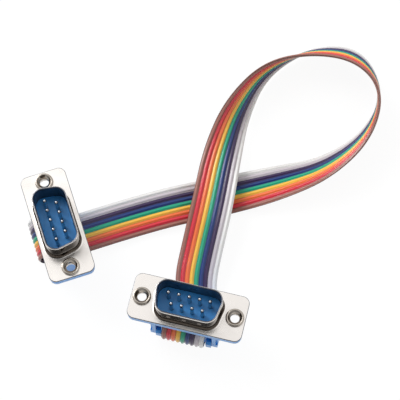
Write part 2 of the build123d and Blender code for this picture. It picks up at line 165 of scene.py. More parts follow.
def add(tree, kind, settings=None, links=None):
    """Add a node: settings are its properties or input values, links its linked inputs.

    An input is given by its name, or by its number where several have one name.
    """
    node = tree.nodes.new(kind)
    for name, value in (settings or {}).items():
        if isinstance(name, int) or name in node.inputs:
            node.inputs[name].default_value = value
        else:
            setattr(node, name, value)
    for name, socket in (links or {}).items():
        tree.links.new(node.inputs[name], socket)
    return node


def new_material(name):
    """An empty material and its tree."""
    material = bpy.data.materials.new(name)
    material.use_nodes = True
    material.node_tree.nodes.clear()
    return material, material.node_tree


print("mid grey, 808080, is", round(float(linear("808080")[0]), 3), "as linear light")

# %% [markdown]
# ## The ribbon
#
# The wires come first. Each is a stranded copper wire in glossy vinyl, and thin webs join the nine side by
# side. The ribbon is stiff across its width, so all nine wires follow one route: its middle line, and at each
# point the direction across the ribbon. A wire's own control points are the middle's, moved across by its
# place. A quadratic spline through them bends smoothly, and because the nine share their parameters they
# stay parallel.

# %% The route
RIBBON_PITCH = 1.27 * MM
WIRE_NAMES = ["brown", "red", "orange", "yellow", "green", "blue", "purple", "grey", "white"]
MIDDLE_WIRE = len(WIRE_NAMES) // 2

# Each plug's place on the floor, its turn in degrees, and the side on which its ribbon leaves.
PLUG_PLACES = {
    "plug_a": ((0.0, 0.0), 0.0, 1),
    "plug_b": ((-0.0394, 0.0140), 122.0, -1),
}

# In each plug, as (reach, height): the cut end in the slot, the fold's two corners, and the way out.
PLUG_ROUTE = [(0.0023, 0.0114), (-0.00725, 0.0114), (-0.00725, 0.0024), (0.0080, 0.0024)]

# Between the plugs: a point of the middle line, and the direction across the ribbon there.
LOOP = [
    ((-0.0011, 0.0125, 0.0030), (-1.0, 0.0, -0.05)),
    ((-0.0013, 0.0195, 0.0040), (-1.0, 0.0, -0.1)),
    ((-0.0014, 0.0330, 0.0065), (-1.0, 0.0, 0.0)),
    ((-0.0022, 0.0475, 0.0065), (-0.9, 0.0, 0.4)),
    ((-0.0015, 0.0620, 0.0050), (-0.6, 0.0, 0.8)),
    ((0.0035, 0.0755, 0.0060), (-0.14, -0.16, 0.97)),
    ((0.0150, 0.0845, 0.0057), (0.0, -0.58, 0.81)),
    ((0.0285, 0.0857, 0.0068), (-0.05, -0.7, 0.71)),
    ((0.0375, 0.0760, 0.0065), (-0.05, -0.35, 0.95)),
    ((0.0360, 0.0625, 0.0060), (0.2, -0.45, 0.85)),
    ((0.0270, 0.0510, 0.0045), (0.4, -0.65, 0.65)),
    ((0.0145, 0.0440, 0.0025), (0.5, -0.85, 0.25)),
    ((0.0010, 0.0375, 0.0008), (0.5, -0.85, 0.0)),
    ((-0.0120, 0.0310, 0.0015), (0.53, -0.85, 0.0)),
    ((-0.0235, 0.0245, 0.0010), (0.53, -0.85, 0.0)),
]


def placed(points, plug):
    """Points in a plug's own frame, turned and moved to where the plug lies."""
    (x, y), degrees, _ = PLUG_PLACES[plug]
    c, s = np.cos(np.radians(degrees)), np.sin(np.radians(degrees))
    spin = np.array([[c, s, 0.0], [-s, c, 0.0], [0.0, 0.0, 1.0]])
    return np.asarray(points, dtype=float) @ spin + np.array([x, y, 0.0])


def plug_route(plug):
    """The middle line's points in one plug, from the cut end to the way out."""
    side = PLUG_PLACES[plug][2]
    return placed([(0.0, side * reach, height) for reach, height in PLUG_ROUTE], plug)


def plug_across(plug):
    """The direction across the ribbon in a plug, towards its first wire."""
    return placed([(-1.0, 0.0, 0.0)], plug) - placed([(0.0, 0.0, 0.0)], plug)


loop_middle = np.array([middle for middle, _ in LOOP])
loop_across = np.array([across for _, across in LOOP])
loop_across /= np.linalg.norm(loop_across, axis=1, keepdims=True)
ROUTE = np.concatenate([plug_route("plug_a"), loop_middle, plug_route("plug_b")[::-1]])
across_a, across_b = [plug_across(plug).repeat(len(PLUG_ROUTE), axis=0) for plug in PLUG_PLACES]
ACROSS = np.concatenate([across_a, loop_across, across_b])
print("route points:", len(ROUTE))

# %% [markdown]
# Blender draws the smooth line itself. A curve with no thickness, turned into a mesh, gives the points along
# its spline in order, and the tube follows those.

# %% Smooth lines
LINE_STEPS = 12  # points between two control points


def smooth_line(name, controls):
    """The points along a quadratic spline with these control points, its ends included."""
    curve = bpy.data.curves.new(name, "CURVE")
    curve.dimensions = "3D"
    curve.resolution_u = LINE_STEPS
    spline = curve.splines.new("NURBS")
    spline.points.add(len(controls) - 1)
    spline.points.foreach_set("co", np.column_stack([controls, np.ones(len(controls))]).ravel())
    spline.order_u = 3
    spline.use_endpoint_u = True
    line = bpy.data.objects.new(name, curve)
    mesh = bpy.data.meshes.new_from_object(line)
    points = np.empty(len(mesh.vertices) * 3)
    mesh.vertices.foreach_get("co", points)
    bpy.data.objects.remove(line)
    bpy.data.curves.remove(curve)
    bpy.data.meshes.remove(mesh)
    return points.reshape(-1, 3)


wire_lines = np.array(
    [
        smooth_line(f"line_{name}", ROUTE + ACROSS * (MIDDLE_WIRE - index) * RIBBON_PITCH)
        for index, name in enumerate(WIRE_NAMES)
    ]
)
print("points along each wire:", wire_lines.shape[1])

# %% [markdown]
# A wire's section is round in the middle and runs out into a thin web at each side, where it meets its
# neighbour at half the pitch. The section is carried along the wire's line. It stands square to the line and
# keeps its width along the ribbon's.

# %% Wires
WIRE_RADIUS = 0.46 * MM
WEB_HALF = 0.13 * MM  # half the web's thickness
SECTION_STEPS = 13  # points across each face of a wire


def wire_section():
    """The section as (across, up) points, anticlockwise.

    At a distance x from the middle the half height is the fourth-power mean of the
    circle's height and the web's, which blends the two without a crease.
    """
    x = RIBBON_PITCH / 2 * np.sin(np.linspace(-np.pi / 2, np.pi / 2, SECTION_STEPS))
    circle = np.sqrt(np.clip(WIRE_RADIUS**2 - x**2, 0.0, None))
    half = (circle**4 + WEB_HALF**4) ** 0.25
    upper = np.column_stack([x, half])
    return np.concatenate([upper, upper[::-1] * (1, -1)])


def along(points):
    """Unit directions along a line of points, by central differences."""
    steps = np.gradient(points, axis=0)
    return steps / np.linalg.norm(steps, axis=1, keepdims=True)


def wire_grid(line, across):
    """The wire's surface: each row is the section, set square to the line at one point."""
    ahead = along(line)
    side = across - (across * ahead).sum(axis=1, keepdims=True) * ahead
    side /= np.linalg.norm(side, axis=1, keepdims=True)
    lift = np.cross(side, ahead)
    section = wire_section()
    return line[:, None] + section[:, 0, None] * side[:, None] + section[:, 1, None] * lift[:, None]


def line_length(points):
    """The length of a line of points."""
    return float(np.linalg.norm(np.diff(points, axis=0), axis=1).sum())


# %% [markdown]
# Ribbon insulation is extruded vinyl, PVC. It leaves the die glossy, with faint lines drawn along it, and
# picks up a little dust and bloom. It gives a soft, bright streak along each wire. The colour varies slightly
# along the length, and a very faint bump keeps the streak from being perfect.

# %% Vinyl
VINYL = {
    "brown": "9d685c",
    "red": "d83543",
    "orange": "f0733f",
    "yellow": "f6bf4a",
    "green": "22a580",
    "blue": "213a78",
    "purple": "3a2850",
    "grey": "c6bec4",
    "white": "e4e3e1",
}
TINT_RANGE = (0.9, 1.1)  # how strong the colour is at its darkest and lightest along a wire
BLOOM_SIZE = MM / 0.12  # 8.3 mm
DUST_SIZE = MM / 6.5  # 0.15 mm: dust is finer than this, and is drawn coarser so that it shows close up

# The web lies in a valley, from this share of the half pitch outward. There it gets painted shade: its colour
# is darkened to these shares of itself. Pale wires get lighter painted shade.
VALLEY_START = 0.76
VALLEY_PAINTED_SHADE = 0.4
PALE_VALLEY_PAINTED_SHADE = {"grey": 0.7, "white": 0.75}


def vinyl(colour):
    """Glossy extruded PVC in one colour. Noise of scale s has features about 1/s across."""
    material, tree = new_material(f"vinyl_{colour}")
    place = add(tree, "ShaderNodeTexCoord").outputs["Object"]
    # Bloom on the surface, in soft patches.
    patches = add(tree, "ShaderNodeTexNoise", {"Scale": 1 / BLOOM_SIZE, "Detail": 3.0}, {"Vector": place})
    dark, light = [linear(VINYL[colour], share) for share in TINT_RANGE]
    tint = add(
        tree,
        "ShaderNodeMix",
        {"data_type": "RGBA", MIX_A: dark, MIX_B: light},
        {"Factor": patches.outputs["Fac"]},
    )
    # Painted shade: the valley beside each wire is painted a darker colour.
    valley = add(tree, "ShaderNodeAttribute", {"attribute_name": "valley"}).outputs["Fac"]
    painted_shade_share = add(tree, "ShaderNodeMapRange", {"From Min": VALLEY_START}, {"Value": valley})
    valley_painted_shade_colour = linear(VINYL[colour], PALE_VALLEY_PAINTED_SHADE.get(colour, VALLEY_PAINTED_SHADE))
    shaded = add(
        tree,
        "ShaderNodeMix",
        {"data_type": "RGBA", MIX_B: valley_painted_shade_colour},
        {"Factor": painted_shade_share.outputs["Result"], MIX_A: tint.outputs[MIXED]},
    )
    # Dust on the surface.
    grain = add(tree, "ShaderNodeTexNoise", {"Scale": 1 / DUST_SIZE, "Detail": 2.0}, {"Vector": place})
    bump = add(
        tree,
        "ShaderNodeBump",
        {"Strength": 0.012, "Distance": 0.04 * MM},
        {"Height": grain.outputs["Fac"]},
    )
    shader = add(
        tree,
        "ShaderNodeBsdfPrincipled",
        {"Roughness": 0.2, "IOR": 1.53, "Specular IOR Level": 0.5},
        {"Base Color": shaded.outputs[MIXED], "Normal": bump.outputs["Normal"]},
    )
    add(tree, "ShaderNodeOutputMaterial", links={"Surface": shader.outputs["BSDF"]})
    return material


ribbon_across = wire_lines[0] - wire_lines[-1]
for index, name in enumerate(WIRE_NAMES):
    line = wire_lines[index]
    mesh = mesh_from(f"ribbon_{name}", [(wire_grid(line, ribbon_across), False, True, True)])
    # The share of the half pitch across each wire, which the vinyl uses to paint shade in the valleys.
    valley = np.abs(wire_section()[:, 0]) / (RIBBON_PITCH / 2)
    valley = np.resize(valley, len(mesh.vertices)).astype(np.float32)
    mesh.attributes.new("valley", "FLOAT", "POINT").data.foreach_set("value", valley)
    made = piece(f"ribbon_{name}", mesh, [f"wire_{name}"], vinyl(name))
    print(name, "wire:", round(line_length(line) / MM, 1), "mm,", len(mesh.polygons), "faces")

# %% [markdown]
# ## The metal shell
#
# The shell is one piece of sheet steel, drawn up into a D-shaped wall and then plated with bright tin. It
# could be a box with holes cut in it, but its curves are what catch the light: the rolled rim, the radius at
# the root, and the small dimples that grip the other plug. So the wall is one profile carried round the D,
# and only the flat flange is a filled outline with holes.

# %% Sizes of the shell
FLANGE_FACE = 15.4 * MM
FLANGE_SIZE = (30.8 * MM, 12.5 * MM)
FLANGE_CORNER = 2.0 * MM
SHEET = 0.5 * MM
SHELL_WALL = 0.45 * MM
SHELL_HEIGHT = 6.0 * MM
MOUTH_SIZE = (16.92 * MM, 8.36 * MM)
MOUTH_CORNER = 2.6 * MM
MOUTH_SLANT = np.radians(10.0)
ROOT_RADIUS = 0.8 * MM
INSERT_HOLE = 1.9 * MM  # radius
DIMPLE_PITCH = 4.1 * MM
DIMPLE_RADIUS = 0.75 * MM
DIMPLE_PROUD = 0.22 * MM
DIMPLE_HEIGHT = 3.0 * MM
INSERT_SPACING = 25.0 * MM


def rounded_outline(centres, turns, corner_steps, side_steps):
    """An outline given by its corners' centres and the angles that each turns through.

    Returns centre points c and outward normals n. The outline at a distance d from the
    centres is c + d n: n turns at a corner while c stands still, and along a side c
    moves while n stands still. So one pair gives every outline parallel to the first.
    """
    c, n = [], []
    for k, (centre, (start, stop)) in enumerate(zip(centres, turns)):
        angle = np.linspace(start, stop, corner_steps)
        c.append(np.tile(centre, (corner_steps, 1)))
        n.append(np.column_stack([np.cos(angle), np.sin(angle)]))
        share = np.linspace(0.0, 1.0, side_steps[k] + 1)[1:-1, None]
        c.append(centre + share * (centres[(k + 1) % len(centres)] - centre))
        n.append(np.tile(n[-1][-1], (len(share), 1)))
    return np.concatenate(c), np.concatenate(n)


def d_corners():
    """The centres of the mouth's four corners, and the angles they turn through.

    Each centre stands one corner radius inside the two sides that meet there.
    """
    length, width = MOUTH_SIZE
    lean = np.tan(MOUTH_SLANT)
    sharp = length / 2 + MOUTH_CORNER * (lean + 1 / np.cos(MOUTH_SLANT) - 1)
    top_x = length / 2 - MOUTH_CORNER
    low_x = sharp - (MOUTH_CORNER + np.sin(MOUTH_SLANT) * (width - MOUTH_CORNER)) / np.cos(MOUTH_SLANT)
    y = width / 2 - MOUTH_CORNER
    centres = np.array([(low_x, -y), (top_x, y), (-top_x, y), (-low_x, -y)])
    quarter, slant = np.pi / 2, MOUTH_SLANT
    turns = [(-quarter, -slant), (-slant, quarter), (quarter, 2 * quarter + slant)]
    turns.append((2 * quarter + slant, 3 * quarter))
    return centres, turns


D_CENTRES, D_NORMALS = rounded_outline(*d_corners(), corner_steps=15, side_steps=(8, 90, 8, 90))
print("points round the D:", len(D_CENTRES))

# %% [markdown]
# The wall's profile is one closed line of points, each a distance out from the mouth and a height. Carried
# round the D it gives a grid with one row for each point of the profile, and the dimples are pressed into the
# grid afterwards.

# %% The D wall
UP_STEPS, DOWN_STEPS, ARC_STEPS = 30, 28, 9  # points of the profile on each stretch
INSIDE_SINK = 0.4 * MM  # how far the inside goes below the flange's face
CLOSING_SINK = 0.42 * MM  # the same for the point that closes the profile
ROOT_SINK = 0.2 * MM  # how far the root's outer edge goes into the sheet
FLAT_SIDE = 0.999  # a side whose normal's Y is more than this is long and straight


def arc(centre, radius, start, stop, steps):
    """Points on an arc, its angles in degrees."""
    angle = np.radians(np.linspace(start, stop, steps))
    return np.column_stack([centre[0] + radius * np.cos(angle), centre[1] + radius * np.sin(angle)])


def wall_grid():
    """The wall: a profile of (distance out from the mouth, height) carried round the D.

    The profile goes up the inside, over the rounded rim, down the outside and out along
    the root's radius. A dimple pushes both faces out by its height times
    (1 - (d / radius) squared) squared, where d is the distance from its middle.
    """
    top = FLANGE_FACE + SHELL_HEIGHT
    half = SHELL_WALL / 2
    root = FLANGE_FACE + ROOT_RADIUS
    up = np.linspace(FLANGE_FACE - INSIDE_SINK, top - half, UP_STEPS)
    down = np.linspace(top - half, root, DOWN_STEPS)
    profile = np.concatenate(
        [
            np.column_stack([np.zeros(UP_STEPS), up]),
            arc((half, top - half), half, 180, 0, ARC_STEPS)[1:],
            np.column_stack([np.full(DOWN_STEPS, SHELL_WALL), down])[1:],
            arc((SHELL_WALL + ROOT_RADIUS, root), ROOT_RADIUS, 180, 270, ARC_STEPS)[1:],
            [(SHELL_WALL + ROOT_RADIUS, FLANGE_FACE - ROOT_SINK)],
            [(0.0, FLANGE_FACE - CLOSING_SINK)],
        ]
    )
    out, height = profile[:, 0, None], profile[:, 1, None]
    edge = D_CENTRES + MOUTH_CORNER * D_NORMALS
    press = np.zeros((len(profile), len(edge)))
    for place in (-DIMPLE_PITCH, 0.0, DIMPLE_PITCH):
        from_middle = (edge[None, :, 0] - place) ** 2 + (height - FLANGE_FACE - DIMPLE_HEIGHT) ** 2
        cap = np.clip(1 - from_middle / DIMPLE_RADIUS**2, 0.0, None) ** 2
        press += DIMPLE_PROUD * cap * (np.abs(D_NORMALS[None, :, 1]) > FLAT_SIDE)
    press *= out <= SHELL_WALL
    reach = MOUTH_CORNER + out + press
    x = D_CENTRES[None, :, 0] + reach * D_NORMALS[None, :, 0]
    y = D_CENTRES[None, :, 1] + reach * D_NORMALS[None, :, 1]
    return np.stack([x, y, np.broadcast_to(height, x.shape)], axis=-1)


print("rows and columns of the wall:", wall_grid().shape[:2])

# %% [markdown]
# The flange is flat, so its outline and holes go into a filled flat curve. The curve's own bevel rounds the
# sheared edge. It is turned into a mesh before it is placed.

# %% The flange
PLATE_EDGE = 0.15 * MM


def filled_plate(outlines, middle, thickness, edge):
    """A flat plate with holes and rounded edges, from closed outlines in a plane."""
    curve = bpy.data.curves.new("plate", "CURVE")
    curve.dimensions = "2D"
    curve.fill_mode = "BOTH"
    curve.extrude = thickness / 2 - edge
    curve.bevel_depth = edge
    curve.bevel_resolution = 2
    curve.offset = -edge
    for outline in outlines:
        spline = curve.splines.new("POLY")
        spline.points.add(len(outline) - 1)
        points = np.column_stack([outline, np.zeros(len(outline)), np.ones(len(outline))])
        spline.points.foreach_set("co", points.ravel())
        spline.use_cyclic_u = True
    filled = bpy.data.objects.new("plate", curve)
    mesh = bpy.data.meshes.new_from_object(filled)
    bpy.data.objects.remove(filled)
    bpy.data.curves.remove(curve)
    mesh.transform(Matrix.Translation((0.0, 0.0, middle)))
    return mesh


def circle(radius, centre, steps=48):
    """Points round a circle."""
    angle = np.arange(steps) * 2 * np.pi / steps
    return np.column_stack([centre[0] + radius * np.cos(angle), centre[1] + radius * np.sin(angle)])


def rectangle_outline(size, corner):
    """A rectangle with rounded corners."""
    x, y = size[0] / 2 - corner, size[1] / 2 - corner
    centres = np.array([(x, -y), (x, y), (-x, y), (-x, -y)])
    quarter = np.pi / 2
    turns = [((k - 1) * quarter, k * quarter) for k in range(4)]
    c, n = rounded_outline(centres, turns, corner_steps=9, side_steps=(2, 2, 2, 2))
    return c + corner * n


print("flange:", len(rectangle_outline(FLANGE_SIZE, FLANGE_CORNER)), "points round its edge")

# %% [markdown]
# The two are joined into one mesh. The wall's rows of faces tell its inside from its outside, and a face's
# tilt tells the sheet's flat faces from its sheared edge, so each face gets its material. The inside and the
# outside from the rim down to the root get painted shade.

# %% The shell
INSIDE_ROWS = UP_STEPS + ARC_STEPS // 2  # the rows up to the middle of the rim
SIDE_START = UP_STEPS + ARC_STEPS - 1  # the first row under the rim, on the outside
SIDE_END = SIDE_START + DOWN_STEPS + ARC_STEPS // 2  # the row halfway round the root's radius
FLAT_FACE = 0.98  # a face whose normal's Z is more than this is flat
# The inside and the drawn side's outside are painted darker as painted shade; the inside's bluish grey is
# also a painted reflection of the blue floor.
BRIGHT, PAINTED_DARK_INSIDE, SHEARED, PAINTED_DARK_SIDE = range(4)  # the order of the shell's materials


def shell_mesh():
    """The flange and the D wall in one mesh, in the plug's own frame.

    Its faces have four materials: bright tin, the inside, painted dark and bluish as painted shade and a
    painted reflection of the blue floor, the sheared edge, and the drawn side's outside, painted dark as
    painted shade for the dark that it mirrors.
    """
    outlines = [
        rectangle_outline(FLANGE_SIZE, FLANGE_CORNER),
        D_CENTRES + (MOUTH_CORNER + SHELL_WALL + ROOT_RADIUS / 2) * D_NORMALS,
        circle(INSERT_HOLE, (INSERT_SPACING / 2, 0.0)),
        circle(INSERT_HOLE, (-INSERT_SPACING / 2, 0.0)),
    ]
    plate = filled_plate(outlines, FLANGE_FACE - SHEET / 2, SHEET, PLATE_EDGE)
    tilt = np.empty(len(plate.polygons) * 3)
    plate.polygons.foreach_get("normal", tilt)
    finish = np.where(np.abs(tilt[2::3]) > FLAT_FACE, BRIGHT, SHEARED)
    plate.polygons.foreach_set("material_index", finish.astype(np.int32))
    wall = mesh_from("wall", [(wall_grid(), True, True, False)])
    row = np.arange(len(wall.polygons)) // len(D_CENTRES)
    # Painted shade: the inside rows and the outside from the rim to the root get the dark painted materials.
    finish = np.where(row < INSIDE_ROWS, PAINTED_DARK_INSIDE, BRIGHT)
    finish[(row >= SIDE_START) & (row < SIDE_END)] = PAINTED_DARK_SIDE
    wall.polygons.foreach_set("material_index", finish.astype(np.int32))
    both = bmesh.new()
    both.from_mesh(plate)
    both.from_mesh(wall)
    mesh = bpy.data.meshes.new("shell")
    both.to_mesh(mesh)
    both.free()
    bpy.data.meshes.remove(plate)
    bpy.data.meshes.remove(wall)
    mesh.shade_smooth()
    mesh.set_sharp_from_angle(angle=np.radians(50))
    return mesh


def lay(mesh, plug, name):
    """A copy of a plug piece's mesh, turned and moved to where the plug lies."""
    (x, y), degrees, _ = PLUG_PLACES[plug]
    laid = mesh.copy()
    laid.name = f"{plug}_{name}"
    laid.transform(Matrix.Translation((x, y, 0.0)) @ Matrix.Rotation(np.radians(degrees), 4, "Z"))
    return laid


shell = shell_mesh()
print("shell:", len(shell.polygons), "faces")

# %% [markdown]
# Bright tin on steel is a mirror softened by the rolled sheet under it. Its own colour is a warm pale grey,
# and nearly all else that the eye sees on it is a reflection. Fine rolling grain spreads each reflection a
# little, and handling leaves faint smudges. The outside of the drawn wall is painted dark, as painted shade
# for the dark that it mirrors, and its roughness is low. Its inside is painted a darker bluish grey: painted
# shade and a painted reflection of the blue floor. The sheared edge is grey steel. The same tree serves for
# the nickel on the turned brass and for the tin on the pins.

# %% Plated metals
SMUDGE_DULLS = (-0.04, 0.08)  # added to the roughness where smudges are faintest and strongest
# Rolling and tumbling leave grain of about 0.02 mm. It is drawn coarser so that it shows close up.
GRAIN_SIZE = MM / 9  # 0.11 mm


def plated(name, colour, dark, roughness, smudge_size):
    """A plated metal: fine grain in its bump, with smudges that dull and darken it.

    The smudges' size is in millimetres.
    """
    material, tree = new_material(name)
    place = add(tree, "ShaderNodeTexCoord").outputs["Object"]
    scale = 1 / (smudge_size * MM)
    smudge = add(tree, "ShaderNodeTexNoise", {"Scale": scale, "Detail": 4.0}, {"Vector": place})
    tint = add(
        tree,
        "ShaderNodeMix",
        {"data_type": "RGBA", MIX_A: linear(colour), MIX_B: linear(dark)},
        {"Factor": smudge.outputs["Fac"]},
    )
    low, high = [roughness + change for change in SMUDGE_DULLS]
    rough = add(
        tree,
        "ShaderNodeMapRange",
        {"From Min": 0.3, "From Max": 0.7, "To Min": low, "To Max": high},
        {"Value": smudge.outputs["Fac"]},
    )
    grain = add(tree, "ShaderNodeTexNoise", {"Scale": 1 / GRAIN_SIZE, "Detail": 2.0}, {"Vector": place})
    bump = add(
        tree,
        "ShaderNodeBump",
        {"Strength": 0.02, "Distance": 0.03 * MM},
        {"Height": grain.outputs["Fac"]},
    )
    shader = add(
        tree,
        "ShaderNodeBsdfPrincipled",
        {"Metallic": 1.0},
        {
            "Base Color": tint.outputs[MIXED],
            "Roughness": rough.outputs["Result"],
            "Normal": bump.outputs["Normal"],
        },
    )
    add(tree, "ShaderNodeOutputMaterial", links={"Surface": shader.outputs["BSDF"]})
    return material


# Each metal's name, colour, colour under smudges, roughness and size of smudge.
TIN_PLATE = plated("tin_plated_steel", "f7f2ed", "ece7e2", 0.26, 5.0)
# Painted shade and a painted reflection: the inside of the wall is coloured a darker bluish grey.
TIN_INSIDE_PAINTED_SHADE = plated("tin_inside_painted_shade", "7d8089", "5d6068", 0.3, 3.0)
SHEARED_EDGE = plated("sheared_steel_edge", "7f8084", "6a6b6f", 0.3, 2.0)
# Painted shade: the outside of the drawn wall is coloured dark, for the dark that it mirrors.
DRAWN_SIDE_PAINTED_SHADE = plated("tin_drawn_side_painted_shade", "6b625a", "4f4842", 0.06, 2.5)
NICKEL = plated("nickel_plated_brass", "d6cec4", "8f867c", 0.12, 0.9)
PIN_PLATE = plated("tin_plated_pin", "cfd0d3", "a5a6aa", 0.2, 1.5)

for plug in PLUG_PLACES:
    mesh = lay(shell, plug, "shell")
    made = piece(f"{plug}_tin_shell", mesh, [f"{plug}_shell"], TIN_PLATE)
    for material in (TIN_INSIDE_PAINTED_SHADE, SHEARED_EDGE, DRAWN_SIDE_PAINTED_SHADE):
        made.data.materials.append(material)
    print(made.name, len(made.data.polygons), "faces")

# %% [markdown]
# ## The threaded inserts
#
# Each screw hole is lined by a turned brass bush, nickel plated. Its collar stands on the flange, rounded at
# its edge, and a countersink leads into the thread. A bush is round, so its profile is turned about its own
# axis. The thread is the one thing that isn't round: in the bore the radius also follows a zigzag that climbs
# one pitch for each turn.

# %% Inserts
THREAD_PITCH = 0.635 * MM
THREAD_DEPTH = 0.14 * MM
THREAD_ROWS = 40
INSERT_STEPS = 64  # points round the axis

# The profile in millimetres, with points as (radius, height) and arcs as a centre and a radius. It goes up
# from the swaged foot along the barrel, out under the collar, over the collar's rounded edge, down the
# countersink and the bore, and out to the relief below the thread.
INSERT_BARREL = [(1.6, 12.3), (2.2, 12.3), (2.2, 12.9), (1.85, 12.9), (1.85, 15.4), (2.45, 15.4)]
COLLAR_OUTSIDE = ((2.1, 15.65), 0.35)
COLLAR_INSIDE = ((2.0, 15.8), 0.2)
COUNTERSINK = [(1.5, 15.5), (1.3, 15.36)]
BORE_RADIUS = 1.2
BORE_TOP, BORE_END = 15.3, 14.4
THREAD_RELIEF = [(1.55, 14.1)]


def insert_grid(centre_x):
    """One insert: its profile of (radius, height) turned about its axis.

    In the bore the radius is the bore's plus the thread's depth times a zigzag of
    height / pitch + angle / full turn.
    """
    bore = np.linspace(BORE_TOP, BORE_END, THREAD_ROWS)
    profile = MM * np.concatenate(
        [
            INSERT_BARREL,
            arc(*COLLAR_OUTSIDE, 0, 90, 9),
            arc(*COLLAR_INSIDE, 90, 140, 5),
            COUNTERSINK,
            np.column_stack([np.full(THREAD_ROWS, BORE_RADIUS), bore]),
            THREAD_RELIEF,
        ]
    )
    threaded = np.zeros(len(profile))
    threaded[-1 - THREAD_ROWS : -1] = 1.0
    turn = np.arange(INSERT_STEPS) * 2 * np.pi / INSERT_STEPS
    climb = profile[:, 1, None] / THREAD_PITCH + turn[None, :] / (2 * np.pi)
    zigzag = np.abs(2 * (climb % 1.0) - 1)
    radius = profile[:, 0, None] + THREAD_DEPTH * zigzag * threaded[:, None]
    x = centre_x + radius * np.cos(turn)
    y = radius * np.sin(turn)
    return np.stack([x, y, np.broadcast_to(profile[:, 1, None], x.shape)], axis=-1)


insert_places = [side * INSERT_SPACING / 2 for side in (-1, 1)]
inserts = mesh_from("inserts", [(insert_grid(x), True, True, False) for x in insert_places])
inserts.set_sharp_from_angle(angle=np.radians(55))
for plug in PLUG_PLACES:
    mesh = lay(inserts, plug, "inserts")
    made = piece(f"{plug}_turned_inserts", mesh, [f"{plug}_inserts"], NICKEL)
    print(made.name, len(made.data.polygons), "faces")

# %% [markdown]
# ## The contacts
#
# Nine contacts stand in two rows. Each has a round pin with a domed tip, and below the floor, out of sight, a
# flat plate with a two-tined fork that cuts into its own wire. The pin is a turned profile, and the plate and
# fork are one outline given a thickness.

# %% Contacts
PIN_PITCH = 2.77 * MM
ROW_GAP = 2.84 * MM
PIN_RADIUS = 0.5 * MM
PIN_FOOT = 13.3 * MM
PIN_TIP = 20.6 * MM
PIN_DOME = 0.62 * MM  # height of the domed tip
PIN_STEPS = 28  # points round the pin
FORK_HALF = 0.46 * MM
FORK_SLOT_HALF = 0.15 * MM
FORK_SLOT_TOP = 11.9 * MM
FORK_NECK = 12.6 * MM  # where the plate narrows to the fork
FORK_TIP = 9.8 * MM
FORK_CUT = 0.15 * MM  # the slanted cut at each tine's tip
FORK_THICK = 0.3 * MM


def pin_grid(x, y):
    """A round pin whose tip is half an ellipsoid, a little longer than it is wide."""
    dome = np.radians(np.linspace(0, 88, 10))  # the last two degrees are a tiny flat
    radius = np.concatenate([[PIN_RADIUS], PIN_RADIUS * np.cos(dome)])
    height = np.concatenate([[PIN_FOOT], PIN_TIP - PIN_DOME + PIN_DOME * np.sin(dome)])
    turn = np.arange(PIN_STEPS) * 2 * np.pi / PIN_STEPS
    return np.stack(
        [
            x + radius[:, None] * np.cos(turn),
            y + radius[:, None] * np.sin(turn),
            np.repeat(height[:, None], len(turn), axis=1),
        ],
        axis=-1,
    )


def fork_grid(pin_x, fork_x, y):
    """The plate and fork: an outline in X and Z, repeated at both faces."""
    low = min(pin_x - PIN_RADIUS, fork_x - FORK_HALF)
    high = max(pin_x + PIN_RADIUS, fork_x + FORK_HALF)
    left, right = fork_x - FORK_HALF, fork_x + FORK_HALF
    hair = 0.001 * MM  # keeps the neck's corners apart where the plate is no wider than the fork
    outline = [
        (low, PIN_FOOT),
        (low, FORK_NECK),
        (left + hair, FORK_NECK),
        (left, FORK_TIP + FORK_CUT),
        (left + FORK_CUT, FORK_TIP),
        (fork_x - FORK_SLOT_HALF, FORK_TIP),
        (fork_x - FORK_SLOT_HALF, FORK_SLOT_TOP),
        (fork_x + FORK_SLOT_HALF, FORK_SLOT_TOP),
        (fork_x + FORK_SLOT_HALF, FORK_TIP),
        (right - FORK_CUT, FORK_TIP),
        (right, FORK_TIP + FORK_CUT),
        (right - hair, FORK_NECK),
        (high, FORK_NECK),
        (high, PIN_FOOT),
    ]
    faces = [np.insert(outline, 1, y + side * FORK_THICK / 2, axis=1) for side in (-1, 1)]
    return np.array(faces)


for index, name in enumerate(WIRE_NAMES):
    pin_x = (index - MIDDLE_WIRE) * PIN_PITCH / 2
    fork_x = (index - MIDDLE_WIRE) * RIBBON_PITCH
    row_y = ROW_GAP / 2 if index % 2 == 0 else -ROW_GAP / 2
    contact = mesh_from(
        f"contact_{name}",
        [
            (pin_grid(pin_x, row_y), False, True, True),
            (fork_grid(pin_x, fork_x, row_y), False, True, True),
        ],
    )
    contact.set_sharp_from_angle(angle=np.radians(40))
    for plug in PLUG_PLACES:
        piece(
            f"{plug}_pin_{name}",
            lay(contact, plug, f"pin_{name}"),
            [f"{plug}_contact_{name}"],
            PIN_PLATE,
        )
print("contacts:", 2 * len(WIRE_NAMES))

# %% [markdown]
# ## The blue mouldings
#
# The body, cover and clip are injection moulded in blue glass-filled polyester, PBT. Their shapes come from
# the frame. A copy of each is merged, and later a bevel rounds its edges a little, because a moulded edge is
# never knife sharp and the soft edge catches light.

# %% Copies of the mouldings
FRAME_POINT = 2e-6  # points of a node's mesh nearer than this are one point
FLAT_JOIN = np.radians(2)  # faces that meet at less than this are joined


def merged_copy(node, name):
    """A copy of a node's mesh, its points merged and its flat faces joined."""
    mesh = node.data.copy()
    mesh.name = name
    mesh.materials.clear()
    tidy = bmesh.new()
    tidy.from_mesh(mesh)
    bmesh.ops.remove_doubles(tidy, verts=tidy.verts, dist=FRAME_POINT)
    bmesh.ops.dissolve_limit(tidy, angle_limit=FLAT_JOIN, verts=tidy.verts, edges=tidy.edges)
    tidy.to_mesh(mesh)
    tidy.free()
    return mesh


MOULDINGS = [f"{plug}_{part}" for plug in PLUG_PLACES for part in ("body", "cover", "clip")]
copies = {name: merged_copy(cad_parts[name], f"{name}_moulding") for name in MOULDINGS}
print("mouldings:", ", ".join(MOULDINGS))

